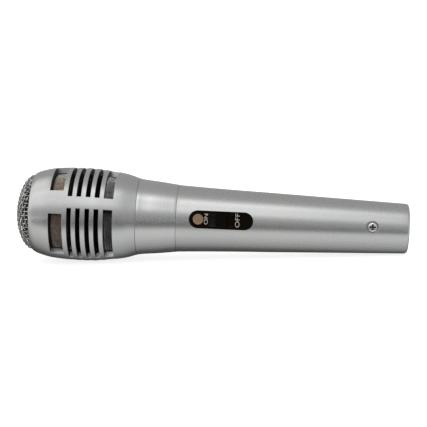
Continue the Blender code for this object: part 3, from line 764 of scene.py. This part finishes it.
def dome_points(p, q, height, meridian):
    """Points of the woven cap for flat cloth coordinates p and q, lifted by height along the normal."""
    x, r, arc = meridian
    rho = np.hypot(p, q)
    along = np.interp(rho, arc, x)
    radius = np.interp(rho, arc, r)
    step = 0.05
    rise = np.interp(rho + step, arc, r) - np.interp(np.maximum(rho - step, 0.0), arc, r)
    run = np.interp(rho + step, arc, x) - np.interp(np.maximum(rho - step, 0.0), arc, x)
    size = np.hypot(rise, run)
    normal_x, normal_r = -rise / size, run / size
    turn = np.arctan2(q, p)
    around = np.stack((np.zeros_like(turn), np.sin(turn), np.cos(turn)), axis=1)
    normals = around * normal_r[:, None]
    normals[:, 0] = normal_x
    points = around * radius[:, None]
    points[:, 0] = along
    return points + normals * height[:, None], normals


def build_dome():
    meridian = dome_meridian()
    reach = meridian[2][-1]
    count = int(reach / DOME_PITCH)
    paths = []
    for family in (0, 1):
        for k in range(-count, count + 1):
            fixed = k * DOME_PITCH
            half = math.sqrt(max(reach**2 - fixed**2, 0.0))
            if half < DOME_PITCH:
                continue
            free = np.linspace(-half, half, 2 * int(half / DOME_PITCH * 3) + 1)
            sign = 1.0 if family == 0 else -1.0
            height = sign * DOME_CRIMP * np.cos(np.pi * free / DOME_PITCH + np.pi * k)
            across = np.full_like(free, fixed)
            p, q = (across, free) if family == 0 else (free, across)
            paths.append(dome_points(p, q, height, meridian))
    wires = tube_arrays(paths, DOME_WIRE, 7)
    new_piece("woven_dome", wires, MIC, "head", MATERIALS["dome_wire"], ("dome_mesh",))


def build_liner():
    spacing = math.pi * LINER_RADIUS / LINER_PER_TURN
    x = np.arange(LINER_START + 0.2, LINER_END - 0.2, spacing / 2.0)
    clearance = SHELL_WALL + GAP + 0.35
    middle = np.array([shell_radius(value) - clearance for value in x])
    paths = []
    for sign in (1.0, -1.0):
        height = sign * LINER_WIRE * np.cos(np.pi * (x - x[0]) / spacing)
        for k in range(LINER_PER_TURN):
            turn = 2.0 * np.pi * k / LINER_PER_TURN + sign * (x - x[0]) / LINER_RADIUS
            around = np.stack((np.zeros_like(turn), np.sin(turn), np.cos(turn)), axis=1)
            points = around * (middle + height)[:, None]
            points[:, 0] = x
            paths.append((points, around))
    wires = tube_arrays(paths, LINER_WIRE, 4)
    new_piece("woven_liner", wires, MIC, "head", MATERIALS["liner_wire"], ("inner_mesh_liner",))


def build_shell():
    """The slotted shell on a grid four times finer than the CAD's, with its edges rounded off and the end walls of
    its openings in a near-black metal that is painted shade.
    """
    front = between([SHELL_FRONT, 9.4, 10.2, 12.4, 15.4, LINER_START - 0.5], 0.8)
    middle = [station for opening in OPENINGS for station in opening[:2]]
    stations = between(front[-1:] + middle, 1.7)
    stations = front[:-1] + stations
    fine = SIDES // CAD_SIDES
    cells_per_row = CAD_SIDES // ROWS_OF_OPENINGS
    bm = bmesh.new()
    outer = add_rings(bm, [(x, shell_radius(x)) for x in stations], SIDES)
    inner = add_rings(bm, [(x, shell_inner_radius(x)) for x in stations], SIDES)
    tail = [(THREAD_START - 0.3, shell_inner_radius(THREAD_START)), (THREAD_START, THREAD_BORE)]
    end = COLLAR_START - SEAM
    tail += [(SEAL_SEAT, THREAD_BORE), (SEAL_SEAT, SEAL_RADIUS + GAP), (end, SEAL_RADIUS + GAP)]
    tail += [(x, shell_radius(min(x, SHELL_END))) for x in between([end, OPENINGS[-1][1] + 1.0], 1.2)]
    rings = inner[-1:] + add_rings(bm, tail, SIDES) + outer[-1:]
    for first, second in list(zip(rings, rings[1:])) + [(outer[0], inner[0])]:
        for cell in range(SIDES):
            bridge(bm, first, second, cell)

    def is_open(band, cell):
        if not 0 <= band < len(stations) - 1:
            return False
        centre = (stations[band] + stations[band + 1]) / 2.0
        for start, end, margin in OPENINGS:
            if start < centre < end:
                return margin <= (cell % SIDES) // fine % cells_per_row < cells_per_row - margin
        return False

    for band in range(len(stations) - 1):
        for cell in range(SIDES):
            after = (cell + 1) % SIDES
            if not is_open(band, cell):
                bridge(bm, outer[band], outer[band + 1], cell)
                bridge(bm, inner[band], inner[band + 1], cell)
                continue
            for side, beyond in ((cell, cell - 1), (after, cell + 1)):
                if not is_open(band, beyond):
                    rim = (outer[band], outer[band + 1], inner[band + 1], inner[band])
                    bm.faces.new([ring[side] for ring in rim])
            for edge, beyond in ((band, band - 1), (band + 1, band + 1)):
                if not is_open(beyond, cell):
                    # These end walls take the second material, the painted-shade metal.
                    rim = (outer[edge][cell], outer[edge][after], inner[edge][after], inner[edge][cell])
                    bm.faces.new(rim).material_index = 1
    loose = [vert for vert in bm.verts if not vert.link_faces]
    bmesh.ops.delete(bm, geom=loose, context="VERTS")
    material = MATERIALS["satin_shell"]
    shell = new_piece("slotted_shell", bm, MIC, "head", material, ("head_shell",))
    # The second material is the near-black painted-shade metal for the openings' end walls.
    shell.data.materials.append(SLOT_SHADE_METAL)
    soften(shell, 0.22)


def build_foam():
    """A foam cup whose skin is dented by noise."""
    depth = DOME_DEPTH - 2.1
    radius = FOAM_RADIUS - 0.1
    turns = np.linspace(0.0, math.pi / 2, 16)
    outer = [(DOME_DEPTH - depth * math.cos(t), radius * math.sin(t)) for t in turns]
    outer += [(x, radius) for x in np.linspace(DOME_DEPTH, FOAM_END - 0.1, 44)[1:]]
    wall = FOAM_WALL - 0.2
    inner = [(FOAM_END - 0.1, radius - wall), (30.0, radius - wall), (DOME_DEPTH, radius - wall)]
    turns = np.linspace(math.pi / 2, 0.0, 8)[1:]
    inner += [(DOME_DEPTH - (depth - wall) * math.cos(t), (radius - wall) * math.sin(t)) for t in turns]
    outline = [(outer[0][0], 0.0)] + outer[1:] + inner[:-1] + [(inner[-1][0], 0.0)]
    bm = turned_mesh(outline, 96)
    bm.normal_update()
    for vert in bm.verts:
        dent = FOAM_DENTS * (noise.noise(vert.co * 1.7) - 0.5)
        vert.co += vert.normal * dent
    foam = new_piece("foam_cup", bm, MIC, "head", MATERIALS["foam"], ("foam_windscreen",))


# ---------------------------------------------------------------------------------- collar, neck, handle


def build_neck():
    """The sleeve the head screws on, with its thread as plain ridges."""
    root = NECK_RADIUS - THREAD_DEPTH
    section = [(NECK_START, NECK_SEAT_RADIUS), (NECK_START, root)]
    for k in range(THREAD_CRESTS):
        start = NECK_START + 0.4 + k
        section += [(start, root), (start + 0.35, NECK_RADIUS)]
        section += [(start + 0.55, NECK_RADIUS), (start + 0.9, root)]
    section += [(COLLAR_START, NECK_RADIUS), (NECK_SHOULDER, NECK_RADIUS), (NECK_SHOULDER, NECK_SPIGOT)]
    section += [(NECK_END, NECK_SPIGOT), (NECK_END, NECK_BORE), (NECK_SEAT_END, NECK_BORE)]
    section.append((NECK_SEAT_END, NECK_SEAT_RADIUS))
    section = [(x, r * (FLAT if r > NECK_SEAT_RADIUS else 1.0)) for x, r in section]
    neck = turned_mesh(section, 96)
    new_piece("threaded_neck", neck, MIC, "handle", MATERIALS["steel"], ("neck_sleeve",), 25.0)


def build_collar():
    lip = NECK_SPIGOT + GAP
    end = HANDLE_START - SEAM
    stations = between([COLLAR_START, end], 1.5)
    outside = [(x, smooth_value(min(x, COLLAR_END), COLLAR_OUTLINE) * FLAT) for x in stations]
    inside = [(end, lip), (NECK_SHOULDER + GAP, lip), (NECK_SHOULDER + GAP, NECK_RADIUS + GAP)]
    outline = outside + inside + [(COLLAR_START, NECK_RADIUS + GAP)]
    outline = round_corners(outline, {0: 0.12, len(outside) - 1: 0.12})
    collar = turned_mesh(outline)
    material = MATERIALS["brushed_collar"]
    new_piece("tapered_collar", collar, MIC, "handle", material, ("collar_band",))


def build_handle():
    cone_end = LENGTH - TAIL_ROUNDING
    stations = between([HANDLE_START, 84.0, 116.5, HANDLE_MID, cone_end], 3.0)
    outside = [(x, handle_radius(x)) for x in stations]
    for k in range(1, 7):
        turn = math.radians(15.0 * k)
        drop = TAIL_ROUNDING * (1.0 - math.cos(turn)) * TAIL_ROUNDING_RATIO
        outside.append((cone_end + TAIL_ROUNDING * math.sin(turn), HANDLE_TAIL_RADIUS * FLAT - drop))
    spigot_bore = NECK_SPIGOT + GAP
    inside = [(LENGTH, TAIL_BORE), (TAIL_BORE_START, TAIL_BORE), (TAIL_BORE_START, HANDLE_BORE)]
    inside += [(NECK_END + GAP, HANDLE_BORE), (NECK_END + GAP, spigot_bore), (HANDLE_START, spigot_bore)]
    outline = round_corners(outside + inside, {0: 0.12, len(outside): 0.2})
    material = MATERIALS["satin_handle"]
    body = turned_mesh(outline)
    handle = new_piece("tapered_handle", body, MIC, "handle", material, ("handle_body",))
    cut(handle, [prism_mesh(stadium(PLATE_LENGTH + 0.4, PLATE_WIDTH + 0.4), -8.0, 4.0)], PLATE)
    rim = [(10.7, 0.0), (10.7, SCREW_HOLE), (12.25, SCREW_HOLE), (15.0, SCREW_HOLE + 2.75), (15.0, 0.0)]
    hole = turned_mesh(rim, 64)
    for vert in hole.verts:
        vert.co = (SCREW_POSITION + vert.co.z, vert.co.y, vert.co.x)
    shank = prism_mesh(circle(SCREW_SHANK + 0.4, (SCREW_POSITION, 0.0), 24), 8.0, 12.0)
    cut(handle, [hole, shank], MIC)


# ---------------------------------------------------------------------------------------------- switch


def build_plate():
    sheet = prism_mesh(stadium(PLATE_LENGTH, PLATE_WIDTH), -PLATE_THICKNESS, 0.0)
    material = MATERIALS["black_switch"]
    plate = new_piece("switch_face", sheet, PLATE, "handle", material, ("switch_plate",))
    half = WINDOW_LENGTH / 2.0
    corners = rectangle(-half, half, WINDOW_WIDTH / 2.0)
    window = prism_mesh(round_corners(corners, {k: 0.5 for k in range(4)}), -3.0, 1.0)
    hole = prism_mesh(circle(DOT_RADIUS + 0.2, (DOT_POSITION, 0.0)), -3.0, 1.0)
    cut(plate, [window, hole], PLATE)
    soften(plate, 0.18, 3, 50.0)

    steps = [(0.0, -PLATE_THICKNESS), (DOT_RADIUS, -PLATE_THICKNESS), (DOT_RADIUS, -0.12)]
    steps += [(DOT_RADIUS - 0.15, 0.0), (DOT_RADIUS - 0.5, 0.0), (DOT_RADIUS - 0.6, -0.08)]
    steps += [(0.9, 0.06), (0.0, 0.09)]
    dot = turned_mesh([(z, radius) for radius, z in steps], 64)
    for vert in dot.verts:
        vert.co = (DOT_POSITION + vert.co.z, vert.co.y, vert.co.x)
    material = MATERIALS["beige_inlay"]
    new_piece("round_inlay", dot, PLATE, "handle", material, ("indicator_dot",), 50.0)


def build_knob():
    """The slider: a grooved ridge at the rear and a hollow that falls towards the front."""
    front = KNOB_REAR - KNOB_LENGTH
    ridge = KNOB_REAR - KNOB_RIDGE
    top = KNOB_HEIGHT
    side = [(front, -1.25), (KNOB_REAR, -1.25), (KNOB_REAR, 0.05), (KNOB_REAR - 0.45, top)]
    for k in range(KNOB_GROOVES):
        x = KNOB_REAR - 0.75 - 0.45 * k
        side += [(x, top), (x - 0.1, top - 0.12), (x - 0.25, top - 0.12), (x - 0.35, top)]
    side += [(ridge + 0.15, 0.42), (ridge - 0.1, 0.0)]
    for k in range(1, 6):
        share = k / 6.0
        fall = 0.62 * math.sin(math.pi / 2 * share)
        side.append((ridge - 0.1 - (ridge - 0.1 - front) * share, -0.05 - fall))
    side.append((front, -0.75))
    knob = prism_mesh(side, -KNOB_WIDTH / 2 + 0.02, KNOB_WIDTH / 2 - 0.02, up="y")
    material = MATERIALS["black_switch"]
    knob = new_piece("slider_knob", knob, PLATE, "switch_slider", material, ("switch_knob",))
    soften(knob, 0.06)


def build_lettering(name, word, low_x, high_x, width, rise):
    """A word printed across the plate, its letters' tops towards the head."""
    curve = bpy.data.curves.new(name, "FONT")
    curve.body = word
    curve.extrude = 0.02
    curve.offset = -0.004
    text = bpy.data.objects.new(name, curve)
    bpy.context.collection.objects.link(text)
    graph = bpy.context.evaluated_depsgraph_get()
    graph.update()
    mesh = bpy.data.meshes.new_from_object(text.evaluated_get(graph))
    bpy.data.objects.remove(text, do_unlink=True)
    corners = np.array([vertex.co for vertex in mesh.vertices])
    low, high = corners.min(0), corners.max(0)
    height = high_x - low_x
    bm = bmesh.new()
    bm.from_mesh(mesh)
    for vert in bm.verts:
        across = (vert.co.x - (low[0] + high[0]) / 2.0) / (high[0] - low[0]) * width + rise
        up = (vert.co.y - low[1]) / (high[1] - low[1]) * height
        vert.co = (high_x - up, across, 0.012 if vert.co.z > 0 else -0.02)
    new_piece(name, bm, PLATE, "handle", LETTERING)


# ------------------------------------------------------------------------------------------ tail socket


def build_socket():
    chamfer = 0.5
    boss = [(INSERT_FACE, 7.4), (INSERT_FACE - 0.35, 7.2), (INSERT_FACE - 0.35, 6.7), (INSERT_FACE, 6.5)]
    edge = INSERT_RADIUS - 0.1
    section = [(INSERT_START, 0.0), (INSERT_START, edge), (INSERT_FACE - chamfer, edge)]
    section += [(INSERT_FACE, INSERT_RADIUS - chamfer)] + boss + [(INSERT_FACE, 0.0)]
    block = turned_mesh(section, 96)
    material = MATERIALS["black_moulding"]
    insert = new_piece("socket_insert", block, MIC, "handle", material, ("xlr_insert",))
    pins, holes = [], []
    for k in range(3):
        seat = ring_point(0.0, PIN_CIRCLE, 180.0 + 120.0 * k)
        hole = [(160.0, 0.0), (160.0, PIN_RADIUS + 0.15), (180.0, PIN_RADIUS + 0.15), (180.0, 0.0)]
        shoulder = PIN_TIP - PIN_RADIUS
        turns = np.linspace(0.0, 1.45, 7)
        tip = [(shoulder + PIN_RADIUS * math.sin(t), PIN_RADIUS * math.cos(t)) for t in turns]
        pin = [(PIN_START, 0.0), (PIN_START, PIN_RADIUS)] + tip + [(PIN_TIP, 0.0)]
        for outline, group, sides in ((hole, holes, 32), (pin, pins, 32)):
            bm = turned_mesh(outline, sides)
            bmesh.ops.translate(bm, verts=bm.verts, vec=seat)
            group.append(bm)
    cut(insert, holes, SOCKET)
    material = MATERIALS["plated_pin"]
    for k, pin in enumerate(pins):
        name, node = f"contact_pin_{k + 1}", f"xlr_pin_{k + 1}"
        new_piece(name, pin, SOCKET, "handle", material, (node,))

    start = INSERT_FACE + GAP
    section = [(start, SOCKET_RADIUS), (start, INSERT_RADIUS), (SOCKET_END, INSERT_RADIUS)]
    section = round_corners(section + [(SOCKET_END, SOCKET_RADIUS)], {2: 0.3, 3: 0.5})
    section = [(x, r - 0.1 if r > SOCKET_RADIUS + 0.8 else r) for x, r in section]
    shell = new_piece(
        "socket_ring", turned_mesh(section), SOCKET, "handle", MATERIALS["steel"], ("xlr_shell",)
    )
    cut(shell, [prism_mesh(rectangle(*LATCH_HOLE), 5.0, 12.0)], SOCKET)


def build_screw():
    """A domed cross-head screw: the outline is (height, radius) up the screw."""
    outline = [(SCREW_TIP, 0.0), (SCREW_TIP, SCREW_SHANK)]
    outline += [(SCREW_UNDER, SCREW_SHANK), (SCREW_UNDER, SCREW_HEAD)]
    rise = SCREW_TOP - SCREW_RIM
    for k in range(8):
        turn = math.radians(90.0 * k / 8.0)
        outline.append((SCREW_RIM + rise * math.sin(turn), SCREW_HEAD * math.cos(turn) ** 0.8))
    outline.append((SCREW_TOP, 0.0))
    bm = turned_mesh(outline, 64)
    for vert in bm.verts:
        vert.co = (SCREW_POSITION + vert.co.z, vert.co.y, vert.co.x)
    material = MATERIALS["dark_screw"]
    screw = new_piece("cross_screw", bm, MIC, "handle", material, ("insert_screw",))
    arms = []
    for half_x, half_y in ((RECESS_REACH, RECESS_HALF_WIDTH), (RECESS_HALF_WIDTH, RECESS_REACH)):
        outline = [(x + SCREW_POSITION, y) for x, y in rectangle(-half_x, half_x, half_y)]
        arms.append(prism_mesh(outline, SCREW_UNDER + 0.1, SCREW_TOP + 1.0))
    # The cross recess takes the black moulding as painted shade for its depth.
    cut(screw, arms, MIC, MATERIALS["black_moulding"])


# ------------------------------------------------------------------------------------------ CAD nodes


def paint_kept_nodes():
    """Give every CAD node that still shows its slot's worked material."""
    slots = {part["node"]: part["material_slot"] for part in frame["record"]["subparts"]}
    for name, node in frame["nodes"].items():
        node.data.materials.clear()
        node.data.materials.append(MATERIALS[slots[name]])
        node.data.shade_smooth()
        node.data.set_sharp_from_angle(angle=math.radians(30))


# ------------------------------------------------------------------------------------- floor and light


def build_floor():
    mesh = bpy.data.meshes.new("floor")
    half = 3.0
    corners = [(-half, -half, 0.0), (half, -half, 0.0), (half, half, 0.0), (-half, half, 0.0)]
    mesh.from_pydata(corners, [], [(0, 1, 2, 3)])
    floor = bpy.data.objects.new("floor", mesh)
    bpy.context.collection.objects.link(floor)
    floor.location.z = CAD_BOUNDS[0].z - 0.0001
    made = Nodes("pale_floor")
    grain = made.noise((40.0, 40.0, 40.0))
    pale = made.ramp(grain, ((0.3, grey(FLOOR_GREY)), (0.7, grey(FLOOR_GREY + 0.01))))
    made.link(pale, made.shader.inputs["Base Color"])
    made.link(pale, made.shader.inputs["Emission Color"])
    made.shader.inputs["Emission Strength"].default_value = FLOOR_GLOW
    made.shader.inputs["Roughness"].default_value = 0.9
    made.shader.inputs["Specular IOR Level"].default_value = 0.0
    mesh.materials.append(made.material)


def grey_ramp(tree, factor, low, high, stops):
    """A colour ramp over factor in low..high; each stop is (factor, grey level)."""
    node = tree.nodes.new("ShaderNodeMapRange")
    node.inputs["From Min"].default_value = low
    node.inputs["From Max"].default_value = high
    tree.links.new(factor, node.inputs["Value"])
    ramp = tree.nodes.new("ShaderNodeValToRGB")
    tree.links.new(node.outputs["Result"], ramp.inputs["Fac"])
    elements = ramp.color_ramp.elements
    while len(elements) < len(stops):
        elements.new(0.5)
    for element, (value, level) in zip(elements, stops):
        element.position = (value - low) / (high - low)
        element.color = (level, level, level, 1.0)
    return ramp.outputs["Color"]


def calculate(tree, operation, first, second):
    node = tree.nodes.new("ShaderNodeMath")
    node.operation = operation
    for socket, value in zip(node.inputs, (first, second)):
        if isinstance(value, float):
            socket.default_value = value
        else:
            tree.links.new(value, socket)
    return node.outputs["Value"]


def build_card():
    """A glowing card on the floor that only reflections see: a painted reflection of the pale floor in front, a
    painted shadow under the microphone, and dark far in front.
    """
    half_x = CARD_HALF_LENGTH
    low_y, high_y = CARD_DEPTHS
    height = CAD_BOUNDS[0].z - 0.00005
    mesh = bpy.data.meshes.new("reflection_card")
    corners = [(-half_x, low_y), (half_x, low_y), (half_x, high_y), (-half_x, high_y)]
    mesh.from_pydata([(x, y, height) for x, y in corners], [], [(0, 1, 2, 3)])
    card = bpy.data.objects.new("reflection_card", mesh)
    bpy.context.collection.objects.link(card)
    made = Nodes("reflection_card")
    separate = made.tree.nodes.new("ShaderNodeSeparateXYZ")
    made.link(made.coordinate.outputs["Object"], separate.inputs["Vector"])
    slope = calculate(made.tree, "MULTIPLY", separate.outputs["X"], CARD_RADIUS[1])
    radius = calculate(made.tree, "ADD", slope, CARD_RADIUS[0])
    distance = calculate(made.tree, "DIVIDE", separate.outputs["Y"], radius)
    # Painted shadow under the microphone, scaled by its radius, and painted floor reflection in front of it.
    floor_and_shadow_glow = grey_ramp(made.tree, distance, -4.0, 4.0, CARD_NEAR_SHADOW_LEVELS)
    slant = calculate(made.tree, "MULTIPLY", separate.outputs["X"], CARD_SLANT)
    front = calculate(made.tree, "ADD", separate.outputs["Y"], slant)
    far = grey_ramp(made.tree, front, low_y, high_y, CARD_FAR_LEVELS)
    level = calculate(made.tree, "MULTIPLY", floor_and_shadow_glow, far)
    made.shader.inputs["Base Color"].default_value = (0.0, 0.0, 0.0, 1.0)
    made.shader.inputs["Specular IOR Level"].default_value = 0.0
    made.link(level, made.shader.inputs["Emission Color"])
    made.shader.inputs["Emission Strength"].default_value = 1.0
    mesh.materials.append(made.material)
    card.visible_camera = False
    card.visible_diffuse = False
    card.visible_shadow = False
    card.visible_transmission = False


def build_world():
    """A white room that reflections see as a dark side behind the camera under a strip light."""
    world = bpy.data.worlds.new("studio")
    bpy.context.scene.world = world
    world.use_nodes = True
    tree = world.node_tree
    tree.nodes.clear()
    coordinate = tree.nodes.new("ShaderNodeTexCoord")
    separate = tree.nodes.new("ShaderNodeSeparateXYZ")
    tree.links.new(coordinate.outputs["Generated"], separate.inputs["Vector"])
    toward = calculate(tree, "MULTIPLY", separate.outputs["Y"], -1.0)
    angle = calculate(tree, "ARCTAN2", separate.outputs["Z"], toward)
    degrees = calculate(tree, "MULTIPLY", angle, 180.0 / math.pi)
    along = tree.nodes.new("ShaderNodeVectorMath")
    along.operation = "DOT_PRODUCT"
    along.inputs[1].default_value = AXIS
    tree.links.new(coordinate.outputs["Generated"], along.inputs[0])
    room = grey_ramp(tree, degrees, -180.0, 180.0, ROOM_LEVELS)
    strip = grey_ramp(tree, degrees, -180.0, 180.0, STRIP_LEVELS)
    share = grey_ramp(tree, along.outputs["Value"], -1.0, 1.0, STRIP_SHARES)
    side = grey_ramp(tree, degrees, -180.0, 180.0, SIDE_LEVELS)
    side_share = grey_ramp(tree, along.outputs["Value"], -1.0, 1.0, SIDE_SHARES)
    strip = calculate(tree, "MULTIPLY", strip, share)
    side = calculate(tree, "MULTIPLY", side, side_share)
    lights = calculate(tree, "ADD", strip, side)
    lit = calculate(tree, "ADD", room, lights)
    path = tree.nodes.new("ShaderNodeLightPath")
    reflected = tree.nodes.new("ShaderNodeBackground")
    tree.links.new(lit, reflected.inputs["Color"])
    even = tree.nodes.new("ShaderNodeBackground")
    even.inputs["Color"].default_value = (1.0, 1.0, 1.0, 1.0)
    even.inputs["Strength"].default_value = EVEN_LIGHT
    mix = tree.nodes.new("ShaderNodeMixShader")
    tree.links.new(path.outputs["Is Glossy Ray"], mix.inputs["Fac"])
    tree.links.new(even.outputs["Background"], mix.inputs[1])
    tree.links.new(reflected.outputs["Background"], mix.inputs[2])
    output = tree.nodes.new("ShaderNodeOutputWorld")
    tree.links.new(mix.outputs["Shader"], output.inputs["Surface"])


def build_softbox():
    light = bpy.data.lights.new("softbox", "AREA")
    light.shape = "RECTANGLE"
    light.size, light.size_y = SOFTBOX_SIZE
    light.energy = SOFTBOX_POWER
    box = bpy.data.objects.new("softbox", light)
    bpy.context.collection.objects.link(box)
    box.location = SOFTBOX_PLACE
    box.visible_glossy = False
    box.rotation_mode = "QUATERNION"
    box.rotation_quaternion = box.location.to_track_quat("Z", "Y")


def build_camera():
    """Straight at the switch, turned a little towards the tail, with the axis falling to the right."""
    axes = MIC.to_3x3().normalized()
    axis, up, switch = axes.col
    yaw, roll = math.radians(CAMERA_YAW), math.radians(CAMERA_ROLL)
    back = (switch * math.cos(yaw) + axis * math.sin(yaw)).normalized()
    level = up.cross(back).normalized()
    rise = back.cross(level)
    right = level * math.cos(roll) + rise * math.sin(roll)
    rise = back.cross(right)
    aim = MIC @ Vector((AIM_ALONG_AXIS, 0.0, 0.0)) + rise * (AIM_ABOVE_AXIS * MM)
    data = bpy.data.cameras.new("camera")
    data.lens = FOCAL_LENGTH
    data.sensor_width = 36.0
    data.clip_start = 0.01
    data.clip_end = 50.0
    camera = bpy.data.objects.new("camera", data)
    bpy.context.collection.objects.link(camera)
    turn = Matrix((right, rise, back)).transposed()
    camera.matrix_world = Matrix.Translation(aim + back * CAMERA_DISTANCE) @ turn.to_4x4()
    bpy.context.scene.camera = camera


# ------------------------------------------------------------------------------------------------ build

paint_kept_nodes()
build_dome()
build_liner()
build_shell()
build_foam()
build_neck()
build_collar()
build_handle()
build_plate()
build_knob()
build_lettering("print_on", "ON", -8.0, -6.2, 5.0, 0.25)
build_lettering("print_off", "OFF", 6.75, 8.75, 6.6, 0.3)
build_socket()
build_screw()
build_floor()
build_card()
build_world()
build_softbox()
build_camera()
bpy.context.scene.view_settings.view_transform = "Standard"
